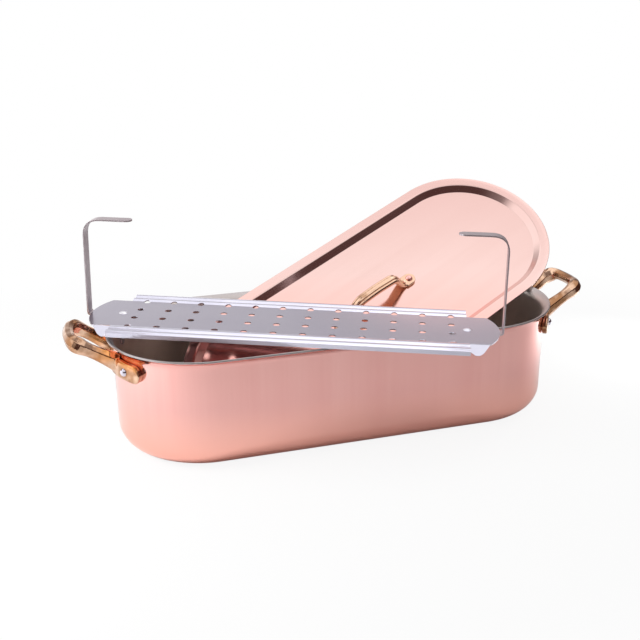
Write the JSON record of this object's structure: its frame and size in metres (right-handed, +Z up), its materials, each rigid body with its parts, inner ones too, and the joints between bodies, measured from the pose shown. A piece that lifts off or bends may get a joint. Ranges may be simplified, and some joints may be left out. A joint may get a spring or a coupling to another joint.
{
  "type": "fish_kettle",
  "caption": "Long oval lidded copper pan with riveted brass handles and a perforated lifting rack, for poaching a whole fish",
  "frame": {"origin": "middle of the pan's flat base, on the surface it stands on", "axes": "+X along the pan towards the end where the lid rises, +Y to the back, +Z up"},
  "size_m": [0.6059, 0.3455, 0.2425],
  "materials": {
    "copper": "satin polished copper",
    "lining": "dull lining",
    "casting": "polished cast brass",
    "steel_rivet": "smooth",
    "copper_rivet": "smooth copper",
    "rack_sheet": "satin",
    "rack_strap": "satin",
    "rack_rivet": "bright"
  },
  "bodies": {
    "kettle": {"kettle_shell": "copper", "kettle_lining": "lining", "left_handle": "casting", "right_handle": "casting", "left_front_rivet": "steel_rivet", "left_rear_rivet": "steel_rivet", "right_front_rivet": "steel_rivet", "right_rear_rivet": "steel_rivet"},
    "lid": {"lid_panel": "copper", "lid_lining": "lining", "lid_handle": "casting", "lid_left_rivet": "copper_rivet", "lid_right_rivet": "copper_rivet"},
    "rack": {"rack_plate": "rack_sheet", "rack_left_strap": "rack_strap", "rack_right_strap": "rack_strap", "rack_left_rivet": "rack_rivet", "rack_right_rivet": "rack_rivet"}
  },
  "joints": [
    {"name": "lid_lift", "type": "slide", "parent": "kettle", "child": "lid", "axis": [0.8782, 0.251, 0.4071], "range_m": [0, 0.45]},
    {"name": "rack_lift", "type": "slide", "parent": "kettle", "child": "rack", "axis": [0, 0, 1], "range_m": [0, 0.25]}
  ]
}
